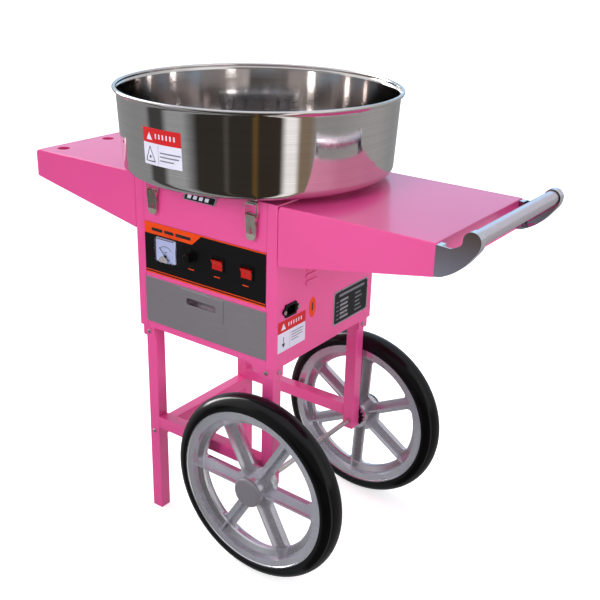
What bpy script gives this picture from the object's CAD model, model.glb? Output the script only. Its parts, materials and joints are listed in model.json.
"""Looks of the cotton candy machine: finishes, printed pieces, trim, lights and camera."""

import json
import math

import bmesh
import bpy
from mathutils import Matrix, Vector


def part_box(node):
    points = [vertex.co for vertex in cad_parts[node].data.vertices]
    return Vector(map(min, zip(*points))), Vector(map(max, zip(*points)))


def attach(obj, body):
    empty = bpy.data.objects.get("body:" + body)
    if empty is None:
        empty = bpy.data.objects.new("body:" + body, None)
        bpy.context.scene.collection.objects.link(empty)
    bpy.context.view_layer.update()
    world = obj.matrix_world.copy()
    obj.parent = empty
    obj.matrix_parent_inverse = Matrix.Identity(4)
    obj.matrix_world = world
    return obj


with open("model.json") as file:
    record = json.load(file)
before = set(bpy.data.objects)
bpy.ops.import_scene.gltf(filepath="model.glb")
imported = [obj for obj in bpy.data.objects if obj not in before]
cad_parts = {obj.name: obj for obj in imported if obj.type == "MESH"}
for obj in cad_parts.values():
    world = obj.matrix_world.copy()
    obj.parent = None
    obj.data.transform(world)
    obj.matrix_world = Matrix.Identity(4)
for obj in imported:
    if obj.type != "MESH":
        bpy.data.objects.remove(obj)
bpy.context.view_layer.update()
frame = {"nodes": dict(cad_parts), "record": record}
nodes = frame["nodes"]
MM = 0.001
white = (1.0, 1.0, 1.0, 1.0)

# Faces of the cabinet, read from the frame.
cabinet_low, cabinet_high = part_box("top_plate")
fascia_low, fascia_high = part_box("fascia")
centre_x = (cabinet_low[0] + cabinet_high[0]) / 2
right_x = cabinet_high[0]
front_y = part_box("left_panel")[0][1]
fascia_y = fascia_low[1]

# Line of the bowl's outer wall, as (radius, height) in millimetres.
wall_foot = (247.0, 729.0)
wall_head = (254.0, 867.5)

# Tops of printed layers, in millimetres above their face.  A higher layer covers a lower one.
print_foot = 0.02
film_top = 0.1
ink_top = 0.12
head_top = 0.16
line_top = 0.18
dash_top = 0.2
sign_top = 0.22
bowl_sign_top = 0.24

# Widths over which corners look worn, and the radius to which metal ones look rounded, in metres.
paint_edge = 0.5 * MM
metal_edge = 0.75 * MM
chrome_edge = 0.9 * MM
moulded_edge = 0.9 * MM
metal_round = 0.5 * MM

# Camera, in the frame's metres and degrees.
camera_place = (0.98554, -1.31241, 1.1482)
camera_azimuth = 35.26
camera_pitch = 22.42
camera_roll = 1.63
camera_lens = 55.1
sensor_width = 36.0
camera_reach = 100.0

# Lamps as (name, place, target, width in metres, watts).
lamp_spread = 60.0
lamps = (
    ("key_light", (-0.2, -2.3, 1.7), (0, 0, 0.75), 0.9, 3.3),
    ("right_light", (2.4, -0.7, 1.3), (0, 0, 0.75), 1.0, 3.6),
    ("top_light", (0, 0.2, 3.0), (0, 0, 0.7), 2.0, 3.2))

# Floor: its radius in metres, and how strongly it glows for light and for the camera.
floor_radius = 30.0
floor_glow = 0.1
floor_shown_glow = 0.6


# ---------------------------------------------------------------- materials

def srgb(red, green, blue):
    """Linear colour from 0-255 display values."""
    def linear(value):
        value = value / 255
        return value / 12.92 if value <= 0.04045 else ((value + 0.055) / 1.055) ** 2.4
    return (linear(red), linear(green), linear(blue), 1.0)


class Graph:
    """Short calls for the nodes of a material or of the world."""

    def __init__(self, owner):
        owner.use_nodes = True
        self.tree = owner.node_tree

    def node(self, kind, **settings):
        made = self.tree.nodes.new(kind)
        for key, value in settings.items():
            setattr(made, key, value)
        return made

    def link(self, output, node, socket):
        self.tree.links.new(output, node.inputs[socket])

    def parts(self, vector):
        """The x, y and z outputs of a vector."""
        split = self.node("ShaderNodeSeparateXYZ")
        self.link(vector, split, 0)
        return split.outputs

    def spread(self, value, low, high, start=0.3, end=0.7):
        """Values from start to end, spread over low to high."""
        scaled = self.node("ShaderNodeMapRange")
        self.link(value, scaled, "Value")
        limits = (("From Min", start), ("From Max", end), ("To Min", low), ("To Max", high))
        for socket, number in limits:
            scaled.inputs[socket].default_value = number
        return scaled.outputs["Result"]

    def blend(self, factor, first, second):
        """Mix of two colours, each given as numbers or as an output."""
        mix = self.node("ShaderNodeMixRGB")
        self.link(factor, mix, "Fac")
        for socket, colour in (("Color1", first), ("Color2", second)):
            if isinstance(colour, tuple):
                mix.inputs[socket].default_value = colour
            else:
                self.link(colour, mix, socket)
        return mix.outputs["Color"]


class Finish(Graph):
    """A Principled material and the patterns that feed it."""

    def __init__(self, name, **values):
        self.material = bpy.data.materials.new(name)
        super().__init__(self.material)
        self.shader = self.tree.nodes["Principled BSDF"]
        self.place = self.node("ShaderNodeTexCoord").outputs["Object"]
        for key, value in values.items():
            socket = key.replace("_", " ").title().replace("Ior", "IOR")
            self.shader.inputs[socket].default_value = value

    def noise(self, scale, stretch=(1, 1, 1), detail=3.0, place=None):
        """Noise, finer along an axis where stretch is larger."""
        mapping = self.node("ShaderNodeMapping")
        mapping.inputs["Scale"].default_value = stretch
        self.link(place or self.place, mapping, "Vector")
        texture = self.node("ShaderNodeTexNoise")
        texture.inputs["Scale"].default_value = scale
        texture.inputs["Detail"].default_value = detail
        self.link(mapping.outputs["Vector"], texture, "Vector")
        return texture.outputs["Fac"]

    def around(self, axis_point, axis=2):
        """Coordinates (distance from an axis, 0, place along it), so patterns run round it."""
        shift = self.node("ShaderNodeVectorMath", operation="SUBTRACT")
        self.link(self.place, shift, 0)
        shift.inputs[1].default_value = axis_point
        flat = self.node("ShaderNodeVectorMath", operation="MULTIPLY")
        self.link(shift.outputs["Vector"], flat, 0)
        flat.inputs[1].default_value = [0 if i == axis else 1 for i in range(3)]
        distance = self.node("ShaderNodeVectorMath", operation="LENGTH")
        self.link(flat.outputs["Vector"], distance, 0)
        joined = self.node("ShaderNodeCombineXYZ")
        self.link(distance.outputs["Value"], joined, "X")
        self.link(self.parts(shift.outputs["Vector"])[axis], joined, "Z")
        return joined.outputs["Vector"]

    def edges(self, radius, samples=4):
        """0 on flat faces, rising to 1 along corners."""
        bevel = self.node("ShaderNodeBevel", samples=samples)
        bevel.inputs["Radius"].default_value = radius
        shape = self.node("ShaderNodeNewGeometry")
        dot = self.node("ShaderNodeVectorMath", operation="DOT_PRODUCT")
        self.link(bevel.outputs["Normal"], dot, 0)
        self.link(shape.outputs["Normal"], dot, 1)
        at_corner, on_flat = 0.75, 0.995
        return self.spread(dot.outputs["Value"], 1.0, 0.0, at_corner, on_flat)

    def colour(self, output):
        self.link(output, self.shader, "Base Color")

    def roughness(self, output):
        self.link(output, self.shader, "Roughness")

    def relief(self, height, depth, strength=1.0, corner=0.0):
        """Bump of the given depth in metres, over corners rounded by the given radius."""
        bump = self.node("ShaderNodeBump")
        bump.inputs["Distance"].default_value = depth
        bump.inputs["Strength"].default_value = strength
        self.link(height, bump, "Height")
        if corner:
            bevel = self.node("ShaderNodeBevel", samples=4)
            bevel.inputs["Radius"].default_value = corner
            self.link(bevel.outputs["Normal"], bump, "Normal")
        self.link(bump.outputs["Normal"], self.shader, "Normal")


def gloss_paint(name, base, deep, edge):
    """Powder coat: faint cloudiness, orange peel and paler folds."""
    paint = Finish(name, ior=1.5, roughness=0.3, coat_weight=0.6, coat_roughness=0.1)
    cloud = paint.spread(paint.noise(scale=5.0, detail=2.0), 0.0, 1.0)
    body = paint.blend(cloud, base, deep)
    most_pale = 0.25
    rim = paint.spread(paint.edges(paint_edge, samples=12), 0.0, most_pale, 0.0, 1.0)
    paint.colour(paint.blend(rim, body, edge))
    paint.relief(paint.noise(scale=450.0, detail=1.0), depth=0.01 * MM, strength=0.1)
    return paint.material


def brushed_metal(name, base, shade, grain, smooth, rough, depth=0.01):
    """Metal with fine lines; grain is the stretch that makes them, coarse along the lines."""
    metal = Finish(name, metallic=1.0)
    lines = metal.noise(60.0, grain, detail=4.0)
    smudge = metal.noise(scale=9.0, detail=3.0)
    tone = metal.blend(metal.spread(lines, 0.0, 1.0), base, shade)
    worn = metal.spread(metal.edges(metal_edge), 0.0, 0.5, 0.0, 1.0)
    bare_edge = (0.8, 0.8, 0.8, 1.0)
    metal.colour(metal.blend(worn, tone, bare_edge))
    smudge_share = 0.5
    mixed = metal.node("ShaderNodeMath", operation="MULTIPLY_ADD")
    metal.link(metal.spread(smudge, -0.5, 0.5), mixed, 0)
    mixed.inputs[1].default_value = (rough - smooth) * smudge_share
    metal.link(metal.spread(lines, smooth, rough), mixed, 2)
    metal.roughness(mixed.outputs["Value"])
    metal.relief(lines, depth * MM, strength=0.6, corner=metal_round)
    return metal.material


def polished_chrome(name):
    """Polished casting: bright rims, and flat end faces that cloud over towards the top."""
    low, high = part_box("handle_bracket_front")
    chrome = Finish(name, metallic=1.0)
    height = chrome.spread(chrome.parts(chrome.place)["Z"], 0.0, 1.0, low[2], high[2])
    low_tone, high_tone = srgb(176, 174, 190), srgb(122, 102, 94)
    clouded = chrome.blend(height, low_tone, high_tone)
    shape = chrome.node("ShaderNodeNewGeometry")
    sideways = chrome.node("ShaderNodeMath", operation="ABSOLUTE")
    chrome.link(chrome.parts(shape.outputs["Normal"])["Y"], sideways, 0)
    turning, flush = 0.85, 0.98
    flat = chrome.spread(sideways.outputs["Value"], 0.0, 1.0, turning, flush)
    body = chrome.blend(flat, srgb(232, 229, 235), clouded)
    worn = chrome.spread(chrome.edges(chrome_edge), 0.0, 0.6, 0.0, 1.0)
    chrome.colour(chrome.blend(worn, body, srgb(240, 240, 244)))
    chrome.roughness(chrome.spread(chrome.noise(scale=30.0), 0.07, 0.12))
    chrome.relief(chrome.noise(scale=40.0, detail=2.0), depth=0.004 * MM, strength=0.2)
    return chrome.material


def spun_steel(name):
    """The bowl: lines that run round it, stretched highlights and faint hand marks."""
    steel = Finish(name, metallic=1.0, anisotropic=0.6, anisotropic_rotation=0.25)
    ring = steel.around((centre_x, 0, 0))
    fine = steel.noise(scale=900.0, detail=4.0, place=ring)
    coarse = steel.noise(scale=120.0, detail=2.0, place=ring)
    smudge = steel.noise(scale=7.0, detail=3.0)
    rows = steel.blend(steel.spread(coarse, 0.0, 1.0), srgb(229, 225, 224), srgb(220, 215, 213))
    line_tone, mark_tone = srgb(190, 185, 182), srgb(160, 154, 150)
    tone = steel.blend(steel.spread(fine, 0.0, 0.45), rows, line_tone)
    steel.colour(steel.blend(steel.spread(smudge, 0.0, 0.2), tone, mark_tone))
    steel.roughness(steel.spread(fine, 0.04, 0.10))
    steel.relief(fine, depth=0.004 * MM, strength=0.25)
    tangent = steel.node("ShaderNodeTangent", direction_type="RADIAL", axis="Z")
    steel.link(tangent.outputs["Tangent"], steel.shader, "Tangent")
    return steel.material


def moulded(name, base, shade, smooth, rough, peel=400.0, depth=0.04, rounding=0.6, **values):
    """Moulded plastic or printed film: cloudy colour, fine skin texture, paler corners."""
    plastic = Finish(name, **values)
    cloud = plastic.spread(plastic.noise(scale=14.0, detail=4.0), 0.0, 1.0)
    body = plastic.blend(cloud, base, shade)
    gain, lift = 1.6, 0.01
    pale = tuple(min(1.0, part * gain + lift) for part in base[:3]) + (1.0,)
    worn = plastic.spread(plastic.edges(moulded_edge), 0.0, 0.6, 0.0, 1.0)
    plastic.colour(plastic.blend(worn, body, pale))
    plastic.roughness(plastic.spread(plastic.noise(scale=90.0), smooth, rough))
    skin = plastic.noise(peel, detail=2.0)
    plastic.relief(skin, depth * MM, strength=0.5, corner=rounding * MM)
    return plastic.material


def tyre_rubber(name):
    """Black rubber with mould lines round it and a faint dusty bloom."""
    rubber = Finish(name, specular_ior_level=0.05, coat_weight=0.4, coat_roughness=0.06)
    low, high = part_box("tyre_front")
    axle = ((low[0] + high[0]) / 2, 0, (low[2] + high[2]) / 2)
    ring = rubber.around(axle, axis=1)
    lines = rubber.noise(scale=260.0, detail=2.0, place=ring)
    bloom = rubber.spread(rubber.noise(scale=18.0, detail=5.0), 0.0, 1.0)
    rubber.colour(rubber.blend(bloom, srgb(4, 4, 5), srgb(11, 10, 12)))
    rubber.roughness(rubber.spread(rubber.noise(scale=45.0, detail=4.0), 0.30, 0.46))
    rubber.relief(lines, depth=0.04 * MM, strength=0.3)
    return rubber.material


def clear_plastic(name):
    """The window over the meter."""
    clear = Finish(name, transmission_weight=1.0, ior=1.25)
    bright_tint, deep_tint = (0.97, 0.98, 1.0, 1.0), (0.9, 0.93, 0.98, 1.0)
    clear.colour(clear.blend(clear.noise(scale=30.0), bright_tint, deep_tint))
    clear.roughness(clear.spread(clear.noise(scale=80.0), 0.02, 0.08))
    clear.relief(clear.noise(scale=300.0), depth=0.005 * MM, strength=0.3)
    return clear.material


# The finish of each material slot of the CAD.  The two plain numbers in a call are the limits
# of its roughness.
finishes = {
    "pink_paint": gloss_paint("pink_paint", srgb(229, 78, 148), srgb(225, 74, 144),
                              srgb(246, 126, 186)),
    "fascia_film": moulded("fascia_film", srgb(11, 9, 11), srgb(16, 13, 15), 0.3, 0.42,
                           specular_ior_level=0.2),
    "polished_chrome": polished_chrome("polished_chrome"),
    "satin_tube": brushed_metal("satin_tube", srgb(238, 228, 238), srgb(222, 213, 222),
                                (20, 0.6, 20), 0.22, 0.32),
    "bowl_steel": spun_steel("bowl_steel"),
    "latch_steel": brushed_metal("latch_steel", srgb(236, 226, 210), srgb(208, 198, 184),
                                 (14, 14, 1), 0.16, 0.28),
    "fastener_steel": brushed_metal("fastener_steel", srgb(226, 222, 218), srgb(200, 196, 192),
                                    (3, 3, 3), 0.25, 0.4),
    "tyre_rubber": tyre_rubber("tyre_rubber"),
    "rim_plastic": moulded("rim_plastic", srgb(216, 214, 221), srgb(206, 204, 212), 0.20, 0.27,
                           peel=300.0, depth=0.001, rounding=0.0, metallic=0.85),
    "cap_plastic": moulded("cap_plastic", srgb(134, 129, 136), srgb(126, 122, 129), 0.3, 0.42,
                           peel=300.0, depth=0.002, rounding=0.0, metallic=0.35),
    "motor_metal": brushed_metal("motor_metal", srgb(120, 122, 126), srgb(95, 97, 102),
                                 (1, 1, 8), 0.35, 0.5),
    "head_aluminium": brushed_metal("head_aluminium", srgb(205, 205, 208), srgb(180, 180, 184),
                                    (1, 1, 12), 0.22, 0.34),
    "heater_ceramic": moulded("heater_ceramic", srgb(205, 196, 178), srgb(180, 170, 150), 0.6, 0.8),
    "meter_white": moulded("meter_white", srgb(208, 212, 246), srgb(196, 202, 238), 0.35, 0.5),
    "meter_clear": clear_plastic("meter_clear"),
    "black_plastic": moulded("black_plastic", srgb(6, 6, 7), srgb(12, 11, 13), 0.25, 0.4,
                             specular_ior_level=0.2),
    "switch_red": moulded("switch_red", srgb(186, 16, 6), srgb(172, 11, 5), 0.12, 0.22,
                          specular_ior_level=0.3, coat_weight=0.2, coat_roughness=0.08),
    "drawer_steel": brushed_metal("drawer_steel", srgb(222, 211, 219), srgb(214, 204, 212),
                                  (0.5, 6, 14), 0.38, 0.44, depth=0.004),
}

# Inks and films of the printed pieces.
orange_ink = moulded("orange_ink", srgb(230, 72, 6), srgb(222, 64, 4), 0.3, 0.42,
                     specular_ior_level=0.2)
black_ink = moulded("black_ink", srgb(24, 20, 22), srgb(34, 30, 32), 0.35, 0.5)
red_ink = moulded("red_ink", srgb(204, 34, 38), srgb(194, 28, 32), 0.28, 0.4,
                  specular_ior_level=0.25)
white_film = moulded("white_film", srgb(222, 220, 236), srgb(210, 208, 226), 0.28, 0.42)
grey_ink = moulded("grey_ink", srgb(128, 128, 138), srgb(112, 112, 122), 0.4, 0.55)
silver_print = moulded("silver_print", srgb(178, 172, 180), srgb(160, 155, 164), 0.25, 0.4,
                       metallic=0.7)
plate_black = moulded("plate_black", srgb(13, 12, 14), srgb(20, 18, 20), 0.3, 0.45,
                      specular_ior_level=0.25)
cap_grey = moulded("cap_grey", srgb(168, 160, 166), srgb(154, 146, 152), 0.4, 0.55)


def dress_nodes():
    """Gives every CAD node the finish of its material slot."""
    for part in frame["record"]["subparts"]:
        for slot in nodes[part["node"]].material_slots:
            slot.material = finishes[part["material_slot"]]


# ---------------------------------------------------------------- shapes in (u, v) millimetres

def rectangle(u0, v0, u1, v1, steps=1):
    """Quads side by side, so that a long shape can follow a curve."""
    width = (u1 - u0) / steps
    starts = [u0 + width * i for i in range(steps)]
    return [[(u, v0), (u + width, v0), (u + width, v1), (u, v1)] for u in starts]


def rounded(u0, v0, u1, v1, radius, steps=5):
    """Rectangle with rounded corners."""
    corners = ((u1 - radius, v0 + radius, -90), (u1 - radius, v1 - radius, 0),
               (u0 + radius, v1 - radius, 90), (u0 + radius, v0 + radius, 180))
    outline = []
    for u, v, start in corners:
        for i in range(steps + 1):
            angle = math.radians(start + 90 * i / steps)
            outline.append((u + radius * math.cos(angle), v + radius * math.sin(angle)))
    return [outline]


def ellipse(u, v, half_u, half_v, count=40):
    turns = [2 * math.pi * i / count for i in range(count)]
    return [[(u + half_u * math.cos(a), v + half_v * math.sin(a)) for a in turns]]


def band(points, width):
    """Quads of even width along a line of points."""
    quads = []
    for (u0, v0), (u1, v1) in zip(points, points[1:]):
        length = math.hypot(u1 - u0, v1 - v0)
        du = (v1 - v0) / length * width / 2
        dv = (u0 - u1) / length * width / 2
        quads.append([(u0 - du, v0 - dv), (u0 + du, v0 + dv), (u1 + du, v1 + dv), (u1 - du, v1 - dv)])
    return quads


def arc_points(u, v, radius, start, end, count=16):
    turns = [math.radians(start + (end - start) * i / count) for i in range(count + 1)]
    return [(u + radius * math.cos(a), v + radius * math.sin(a)) for a in turns]


def triangle(u, v, size):
    """Equal sided triangle standing on v, its middle at u, in slices that follow a curve."""
    half = size / 2
    height_share = 0.87
    rise = size * height_share
    left, right = u - half / 2, u + half / 2
    top, waist = v + rise, v + rise / 2
    return [[(u - half, v), (left, v), (left, waist)],
            [(left, v), (u, v), (u, top), (left, waist)],
            [(u, v), (right, v), (right, waist), (u, top)],
            [(right, v), (u + half, v), (right, waist)]]


def slanted(u0, v0, u1, v1, lean):
    """Bar whose top is shifted by lean."""
    return [[(u0, v0), (u1, v0), (u1 + lean, v1), (u0 + lean, v1)]]


# ---------------------------------------------------------------- places for flat shapes
# Each turns (u, v) and the height over the face, in millimetres, into a point of the frame.

def on_fascia(u, v, out):
    return Vector((centre_x + u * MM, fascia_y - out * MM, v * MM))


def on_front(u, v, out):
    return Vector((centre_x + u * MM, front_y - out * MM, v * MM))


def on_right(u, v, out):
    return Vector((right_x + out * MM, u * MM, v * MM))


def on_bowl(u, v, out):
    rise = (v - wall_foot[1]) / (wall_head[1] - wall_foot[1])
    radius = wall_foot[0] + (wall_head[0] - wall_foot[0]) * rise
    turn = u / radius
    reach = (radius + out) * MM
    return Vector((centre_x + reach * math.sin(turn), -reach * math.cos(turn), v * MM))


def prism(shape, upper, lower, material_index=0):
    """Adds the closed solid between two outlines of equal length."""
    top = [shape.verts.new(point) for point in upper]
    foot = [shape.verts.new(point) for point in lower]
    faces = [shape.faces.new(top), shape.faces.new(foot[::-1])]
    for i in range(len(top)):
        j = (i + 1) % len(top)
        faces.append(shape.faces.new((foot[i], foot[j], top[j], top[i])))
    for face in faces:
        face.material_index = material_index


def in_scene(shape, name, materials):
    """Turns a bmesh into an object of the scene."""
    data = bpy.data.meshes.new(name)
    shape.to_mesh(data)
    shape.free()
    for material in materials:
        data.materials.append(material)
    made = bpy.data.objects.new(name, data)
    bpy.context.scene.collection.objects.link(made)
    return made


def settle(shape, name, materials, body, soften=0.0):
    """Turns a bmesh into a piece that rides on a body, with corners softened by millimetres."""
    bmesh.ops.recalc_face_normals(shape, faces=shape.faces)
    piece = in_scene(shape, name, materials)
    if soften:
        bevel = piece.modifiers.new("soften", "BEVEL")
        bevel.width = soften * MM
        bevel.segments = 2
        bevel.limit_method = "ANGLE"
    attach(piece, body)


class Print:
    """Thin raised shapes on a face of the cart, gathered into one mesh."""

    def __init__(self, name, place):
        self.name = name
        self.place = place
        self.shape = bmesh.new()
        self.materials = []

    def add(self, outlines, material, top=ink_top, foot=print_foot):
        if material not in self.materials:
            self.materials.append(material)
        for outline in outlines:
            upper = [self.place(u, v, top) for u, v in outline]
            lower = [self.place(u, v, foot) for u, v in outline]
            prism(self.shape, upper, lower, self.materials.index(material))

    def finish(self, soften=0.0):
        settle(self.shape, self.name, self.materials, "cart", soften)


# ---------------------------------------------------------------- printed pieces

def fascia_print():
    """Title block with plain dashes, trim lines and a dash under each control."""
    half = 142.0
    top = fascia_high[2] / MM
    low = fascia_low[2] / MM
    title_foot = top - 22
    slope_start, slope_end = -25, -4
    graphics = Print("fascia_print", on_fascia)
    title = [(-half, title_foot), (slope_start, title_foot), (slope_end, top - 3),
             (slope_end, top), (-half, top)]
    top_line, thin_line, wide_line = top - 2.6, (low + 5.5, low + 7.2), (low, low + 2.8)
    graphics.add([title], orange_ink)
    graphics.add(rectangle(slope_end, top_line, half, top), orange_ink)
    for foot, head in (thin_line, wide_line):
        graphics.add(rectangle(-half, foot, half, head), orange_ink)
    start, gap = -124.0, 4.5
    dash_foot, dash_head = top - 15.5, top - 9.5
    for length in (27, 23, 37):
        dash = rounded(start, dash_foot, start + length, dash_head, 1.8)
        graphics.add(dash, black_ink, dash_top)
        start += length + gap
    knob_u, left_switch_u, right_switch_u = -28.0, 33.0, 98.0
    half_dash, dash_v = 7, 560
    for u in (knob_u, left_switch_u, right_switch_u):
        graphics.add(rounded(u - half_dash, dash_v, u + half_dash, dash_v + 2, 0.9), orange_ink)
    graphics.finish()


def hazard_panel(label, u0, v0, u1, v1, head, steps):
    """Base of both notices: white film, red head with triangle and blocks, and a divider."""
    split = v1 - head
    label.add(rectangle(u0, v0, u1, v1, steps), white_film, film_top)
    label.add(rectangle(u0, split, u1, v1, steps), red_ink, head_top)
    sign_u, sign_v, sign_size = 16, 5, 14
    label.add(triangle(u0 + sign_u, split + sign_v, sign_size), white_film, sign_top)
    blocks, blocks_u, margin_u = 6, 30, 7
    block_share, margin_share = 0.38, 0.34
    margin_v = head * margin_share
    pitch = (u1 - margin_u - u0 - blocks_u) / blocks
    for i in range(blocks):
        start = u0 + blocks_u + pitch * i
        block = rectangle(start, split + margin_v, start + pitch * block_share, v1 - margin_v)
        label.add(block, white_film, sign_top)
    divider_u, divider_width, gap = u0 + 35, 0.7, 3
    divider = rectangle(divider_u, v0 + gap, divider_u + divider_width, split - gap)
    label.add(divider, grey_ink, head_top)


def text_lines(label, lengths, u, v, pitch, height, steps=1):
    """Plain bars in place of lines of text, going down."""
    for i, length in enumerate(lengths):
        foot = v - pitch * i
        label.add(rectangle(u, foot, u + length, foot + height, steps), grey_ink, line_top)


def bowl_notice():
    """Notice on the bowl's wall; its outlines are divided so that they follow the wall."""
    label = Print("bowl_notice", on_bowl)
    hazard_panel(label, -47, 771, 38, 833, head=25, steps=10)
    middle, foot, peak = -31, 777, 802
    corners = [(u, foot) for u in (-42, -36, middle, -26, -20)] + [(middle, peak), (-42, foot)]
    label.add(band(corners, 1.4), black_ink, bowl_sign_top)
    label.add(ellipse(middle, 784.5, 2.2, 2.2, 12), black_ink, bowl_sign_top)
    text_lines(label, (44, 40, 30), -8, 793, pitch=6.5, height=2.4, steps=6)
    label.finish()


def side_notice():
    """Notice below the mains inlet, with a plain arrow that points down."""
    label = Print("side_notice", on_right)
    hazard_panel(label, -151, 446, -69, 505, head=22, steps=1)
    middle = -134
    label.add(band([(middle, 474), (middle, 460)], 1.6), black_ink, line_top)
    label.add([[(middle - 5, 461), (middle + 5, 461), (middle, 453)]], black_ink, line_top)
    text_lines(label, (36, 32, 34, 22), -111, 474, pitch=5, height=1.8)
    label.finish()


def oval_sticker():
    """Orange oval with a plain bar."""
    sticker = Print("oval_sticker", on_right)
    sticker.add(ellipse(-48, 503, 10.5, 20), orange_ink, film_top)
    sticker.add(rounded(-50.2, 496, -45.8, 512, 1.6), black_ink, head_top)
    sticker.finish()


def rating_plate():
    """Black data plate with a bright border; its lines are plain bars."""
    u0, v0, u1, v1 = 22, 439, 142, 508
    border_top, face_top, bar_top = 0.5, 0.62, 0.7
    border, rows, pitch = 3, 5, 8.6
    plate = Print("rating_plate", on_right)
    plate.add(rounded(u0, v0, u1, v1, 4), silver_print, border_top)
    plate.add(rounded(u0 + border, v0 + border, u1 - border, v1 - border, 5), plate_black, face_top)
    plate.add(rounded(u0 + 18, v1 - 14, u1 - 14, v1 - 9, 1), grey_ink, bar_top)
    for row in range(rows):
        v = v0 + 9 + pitch * row
        plate.add(rectangle(u0 + 22, v, u0 + 50 - 2 * (row % 2), v + 4.6), silver_print, bar_top)
        plate.add(rectangle(u0 + 9, v + 1, u0 + 18, v + 3), grey_ink, bar_top)
        plate.add(rectangle(u0 + 74, v + 1, u0 + 98 - 4 * (row % 3), v + 4), grey_ink, bar_top)
    plate.finish(soften=0.2)


def inlet_screws():
    """Screw heads with a plain slot on the ears of the mains inlet."""
    low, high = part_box("power_inlet")
    flange_out = (high[0] - right_x) / MM
    middle_u = (low[1] + high[1]) / 2 / MM
    middle_v = (low[2] + high[2]) / 2 / MM
    ear, radius, head_height = 19.5, 3.4, 1.3
    slot_half, slot_half_width = 2.4, 0.4
    screws = Print("inlet_screws", on_right)
    for u in (middle_u - ear, middle_u + ear):
        screws.add(ellipse(u, middle_v, radius, radius, 20), finishes["fastener_steel"],
                   flange_out + head_height, flange_out + print_foot)
        slot = rectangle(u - slot_half, middle_v - slot_half_width,
                         u + slot_half, middle_v + slot_half_width)
        screws.add(slot, black_ink, flange_out + head_height + 0.06, flange_out + head_height - 0.1)
    screws.finish(0.35)


def badge():
    """Slanted dark badge with four plain bars."""
    border_top, face_top, bar_top = 1.6, 1.9, 2.1
    bars, bar_pitch, bar_width = 4, 13.5, 8.5
    sign = Print("badge", on_front)
    sign.add(slanted(-44, 690.5, 30, 705.5, 6), silver_print, border_top)
    sign.add(slanted(-40.5, 692, 27, 704, 5), plate_black, face_top)
    for i in range(bars):
        u = -34 + bar_pitch * i
        sign.add(slanted(u, 694.5, u + bar_width, 701.5, 3), white_film, bar_top)
    sign.finish(soften=0.3)


def meter_scale(middle, pivot):
    """Arc and ticks on the meter's white face, and a plain bar under them."""
    dial_depth, least_out = 4.2, 2.4
    out = max((fascia_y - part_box("meter_case")[0][1]) / MM - dial_depth, least_out)
    radius, long_tick, short_tick, ticks = 19.5, 16.0, 17.6, 11
    start, end = 45, 135
    scale = Print("meter_scale", on_fascia)
    arc = band(arc_points(middle, pivot, radius, start, end), 0.8)
    scale.add(arc, black_ink, out + 0.1, out)
    for i in range(ticks):
        angle = math.radians(start + (end - start) / (ticks - 1) * i)
        inner = long_tick if i % 5 == 0 else short_tick
        ends = [(middle + r * math.cos(angle), pivot + r * math.sin(angle)) for r in (inner, radius)]
        scale.add(band(ends, 0.7), black_ink, out + 0.1, out)
    bar = rectangle(middle - 4, pivot + 7.5, middle + 4, pivot + 9)
    scale.add(bar, grey_ink, out + 0.1, out)
    scale.finish()


def meter_cap(middle, base, out):
    """Half-round cap with a slotted zero screw at the foot of the meter's cover."""
    cap = Print("meter_cap", on_fascia)
    foot = out + 0.05
    cap_base, radius = base + 3, 10
    cap_top = out + 0.9
    cap.add([arc_points(middle, cap_base, radius, 0, 180, 20)], cap_grey, cap_top, foot)
    seam = band(arc_points(middle, cap_base, radius + 0.6, 12, 168), 1.6)
    cap.add(seam, grey_ink, out + 0.5, foot)
    slot_half, slot_v = 2.4, base + 8
    slot = band([(middle - slot_half, slot_v), (middle + slot_half, slot_v)], 0.9)
    cap.add(slot, black_ink, out + 1.0, cap_top)
    cap.finish(0.25)


def meter_dial():
    """Scale and cap of the voltmeter, placed from the boxes of its CAD parts."""
    low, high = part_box("meter_cover")
    middle = ((low[0] + high[0]) / 2 - centre_x) / MM
    base = low[2] / MM
    pivot_rise = 12.5
    meter_scale(middle, base + pivot_rise)
    meter_cap(middle, base, (fascia_y - low[1]) / MM)


# ---------------------------------------------------------------- trim with real shape

def toothed_ring(teeth, tip, root):
    """Outline of a ring with square teeth, as (x, z) in metres round its axis."""
    count = teeth * 4
    radii = [(tip if i % 4 < 2 else root) * MM for i in range(count)]
    turns = [2 * math.pi * i / count for i in range(count)]
    return [(r * math.cos(a), r * math.sin(a)) for r, a in zip(radii, turns)]


def wheel_bushes():
    """Slotted black bearing ring on the inner end of each hub."""
    profile = toothed_ring(14, 21.0, 17.0)
    thickness, bore = 2.0, 0.55
    for end, facing in (("front", -1), ("rear", 1)):
        low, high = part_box(f"rim_{end}")
        axle = ((low[0] + high[0]) / 2, (low[2] + high[2]) / 2)
        inner_y = high[1] if facing < 0 else low[1]
        ring = bmesh.new()
        loops = []
        for reach, scale in ((0.0, 1.0), (thickness, 1.0), (thickness, bore), (0.0, bore)):
            y = inner_y - facing * reach * MM
            loops.append([ring.verts.new((axle[0] + x * scale, y, axle[1] + z * scale))
                          for x, z in profile])
        for a, b in zip(loops, loops[1:] + loops[:1]):
            for i in range(len(profile)):
                j = (i + 1) % len(profile)
                ring.faces.new((a[i], a[j], b[j], b[i]))
        settle(ring, f"bush_{end}", [finishes["black_plastic"]], f"wheel_{end}", 0.3)


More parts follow.
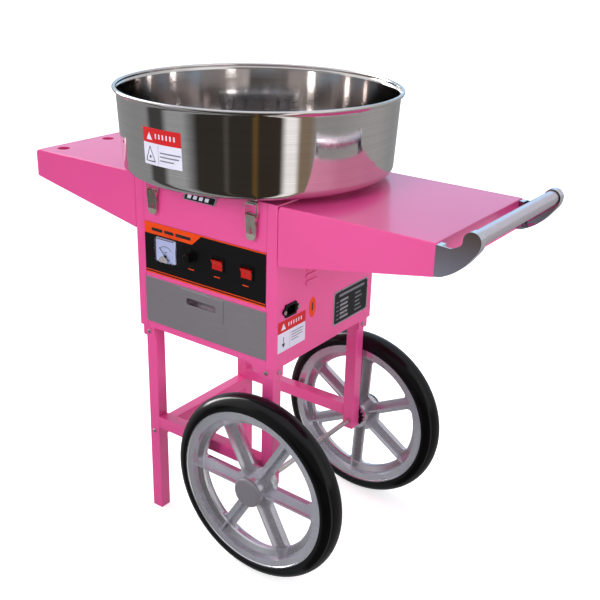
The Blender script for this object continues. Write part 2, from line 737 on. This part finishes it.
def islands(mesh):
    """Places of a mesh's vertices, one list for each connected group, in the mesh's own order."""
    shape = bmesh.new()
    shape.from_mesh(mesh)
    weld = 0.001 * MM
    bmesh.ops.remove_doubles(shape, verts=shape.verts, dist=weld)
    left = set(shape.verts)
    groups = []
    for start in shape.verts:
        if start not in left:
            continue
        left.remove(start)
        todo = [start]
        group = [start]
        while todo:
            for edge in todo.pop().link_edges:
                for vert in edge.verts:
                    if vert in left:
                        left.remove(vert)
                        todo.append(vert)
                        group.append(vert)
        groups.append([vert.co.copy() for vert in group])
    shape.free()
    return groups


def bolt_recesses():
    """Dark cross recess in the head of every frame bolt."""
    half_length, half_width, rise, taper = 2.0 * MM, 0.45 * MM, 0.06 * MM, 0.6
    up = Vector((0, 0, 1))
    crosses = bmesh.new()
    for group in islands(nodes["frame_bolts"].data):
        low = Vector([min(p[i] for p in group) for i in range(3)])
        high = Vector([max(p[i] for p in group) for i in range(3)])
        centre = (low + high) / 2
        size = high - low
        axis = 0 if size[0] < size[1] else 1
        outward = centre[axis] > (centre_x, 0)[axis]
        centre[axis] = high[axis] if outward else low[axis]
        across = Vector((0, 1, 0)) if axis == 0 else Vector((1, 0, 0))
        out = Vector((0, 0, 0))
        out[axis] = rise if outward else -rise
        for first, second in ((across, up), (up, across)):
            corners = [first * (half_length * a) + second * (half_width * b)
                       for a, b in ((-1, -1), (1, -1), (1, 1), (-1, 1))]
            prism(crosses, [centre + corner + out for corner in corners],
                  [centre + corner * taper - out for corner in corners])
    settle(crosses, "bolt_recesses", [black_ink], "cart")


# ---------------------------------------------------------------- studio

def floor():
    """White paper that takes shadows and doesn't show in reflections."""
    paper = Finish("paper", roughness=0.9)
    paper.shader.inputs["Emission Color"].default_value = white
    path = paper.node("ShaderNodeLightPath")
    glow = paper.spread(path.outputs["Is Camera Ray"], floor_glow, floor_shown_glow, 0.0, 1.0)
    paper.link(glow, paper.shader, "Emission Strength")
    dull, bright = (0.86, 0.86, 0.86, 1.0), (0.88, 0.88, 0.88, 1.0)
    paper.colour(paper.blend(paper.noise(scale=0.6), dull, bright))
    disc = bmesh.new()
    bmesh.ops.create_circle(disc, cap_ends=True, segments=96, radius=floor_radius)
    ground = in_scene(disc, "floor", [paper.material])
    ground.visible_glossy = False


# Walls, openings and lights round the cart, each as (start, end, brightness, warmth).  Start and
# end are degrees from the direction of the camera, anticlockwise seen from above.  The gaps
# between panels are soft edges.  Reflections on the bowl show the panels as upright bands.
low_panels = (
    (-180, -98, 0.33, -0.03),   # pale wall on the left
    (-93, -81, 0.07, 0.0),      # dark gap
    (-75, -60, 0.43, -0.04),    # left light, spilling low
    (-47, -26, 0.035, 0.15),    # dark room behind the camera
    (-24, -22, 0.08, 0.1),
    (-20, -3, 0.035, 0.15),
    (-1, 1, 0.09, 0.7),
    (3, 20, 0.035, 0.25),
    (25, 32, 1.2, 0.0),         # tall light on the right
    (36, 44, 0.21, 0.3),        # warm curtain beside it
    (50, 66, 0.36, 0.0),        # pale wall on the right
    (96, 116, 0.44, 0.0),
    (142, 180, 0.33, -0.03))
high_panels = (
    (-180, -162, 0.75, -0.22),  # cool light behind the cart
    (-150, -139, 1.0, -0.1),
    (-134, -124, 18.0, 0.0),    # narrow window
    (-119, -74, 0.9, 0.0),
    (-64, -48, 0.34, 0.0),
    (-20, 24, 0.2, 0.05),       # dark room behind the camera
    (34, 60, 1.1, 0.0),         # right light
    (72, 92, 0.75, 0.0),
    (108, 144, 0.62, -0.05),
    (160, 180, 0.9, -0.3))
ceiling_tone = (0.95, 0.95, 1.00, 1.0)
ambient_low = (0.40, 0.40, 0.40, 1.0)
ambient_high = (0.46, 0.46, 0.50, 1.0)

# Heights of a direction between which one tone fades into the next, 0 level and 1 straight up.
ring_fade = (-0.02, 0.12)
ceiling_fade = (0.55, 0.8)
ambient_fade = (0.0, 0.5)


class Surroundings(Graph):
    """World made of a low and a high ring of panels and a plain ceiling."""

    def __init__(self):
        world = bpy.data.worlds.new("studio")
        bpy.context.scene.world = world
        super().__init__(world)
        self.tree.nodes.clear()

    def bearing(self):
        """Height of a direction, and its share of a turn with the camera at one half."""
        place = self.node("ShaderNodeTexCoord")
        turn = self.node("ShaderNodeMapping")
        turn.inputs["Rotation"].default_value = (0, 0, -math.radians(camera_azimuth - 90))
        self.link(place.outputs["Generated"], turn, "Vector")
        parts = self.parts(turn.outputs["Vector"])
        angle = self.node("ShaderNodeMath", operation="ARCTAN2")
        self.link(parts["Y"], angle, 0)
        self.link(parts["X"], angle, 1)
        return parts["Z"], self.spread(angle.outputs[0], 0.0, 1.0, -math.pi, math.pi)

    def ring(self, share, panels):
        """Colours of a ring of panels; the ramp makes the soft edges between them."""
        ramp = self.node("ShaderNodeValToRGB")
        stops = ramp.color_ramp.elements
        while len(stops) < 2 * len(panels):
            stops.new(1.0)
        ends = [(end, panel) for panel in panels for end in panel[:2]]
        for stop, (degrees, (_, _, bright, warm)) in zip(stops, ends):
            stop.position = (degrees + 180) / 360
            stop.color = (bright * (1 + warm), bright, bright * (1 - warm), 1.0)
        self.link(share, ramp, "Fac")
        return ramp.outputs["Color"]

    def over(self, height, low, high, start, end):
        """Fades from low to high as the direction rises from start to end."""
        return self.blend(self.spread(height, 0.0, 1.0, start, end), low, high)


def studio_world():
    """Rings of panels for reflections, plain light for matt surfaces, and white for the camera."""
    sky = Surroundings()
    height, share = sky.bearing()
    rings = sky.over(height, sky.ring(share, low_panels), sky.ring(share, high_panels), *ring_fade)
    dome = sky.over(height, rings, ceiling_tone, *ceiling_fade)
    path = sky.node("ShaderNodeLightPath")
    ambient = sky.over(height, ambient_low, ambient_high, *ambient_fade)
    lit = sky.blend(path.outputs["Is Diffuse Ray"], dome, ambient)
    shown = sky.blend(path.outputs["Is Camera Ray"], lit, white)
    background = sky.node("ShaderNodeBackground")
    sky.link(shown, background, "Color")
    output = sky.node("ShaderNodeOutputWorld")
    sky.link(background.outputs["Background"], output, "Surface")


def lamp(name, place, target, width, watts):
    data = bpy.data.lights.new(name, "AREA")
    data.size = width
    data.energy = watts
    data.spread = math.radians(lamp_spread)
    light = bpy.data.objects.new(name, data)
    light.location = place
    aim = Vector(target) - Vector(place)
    light.rotation_euler = aim.to_track_quat("-Z", "Y").to_euler()
    light.visible_glossy = False
    bpy.context.scene.collection.objects.link(light)


def camera():
    """The view of the photo."""
    azimuth, pitch, roll = (math.radians(a) for a in (camera_azimuth, camera_pitch, camera_roll))
    ahead = Vector((-math.sin(azimuth) * math.cos(pitch), math.cos(azimuth) * math.cos(pitch),
                    -math.sin(pitch)))
    side = ahead.cross(Vector((0, 0, 1))).normalized()
    up = side.cross(ahead)
    right = side * math.cos(roll) + up * math.sin(roll)
    top = up * math.cos(roll) - side * math.sin(roll)
    data = bpy.data.cameras.new("camera")
    data.lens = camera_lens
    data.sensor_width = sensor_width
    data.clip_end = camera_reach
    eye = bpy.data.objects.new("camera", data)
    turn = Matrix((right, top, -ahead)).transposed()
    eye.matrix_world = Matrix.Translation(camera_place) @ turn.to_4x4()
    bpy.context.scene.collection.objects.link(eye)
    bpy.context.scene.camera = eye


dress_nodes()
fascia_print()
bowl_notice()
side_notice()
oval_sticker()
rating_plate()
inlet_screws()
badge()
meter_dial()
wheel_bushes()
bolt_recesses()
floor()
studio_world()
for name, place, target, width, watts in lamps:
    lamp(name, place, target, width, watts)
camera()
bpy.context.scene.view_settings.view_transform = "Standard"
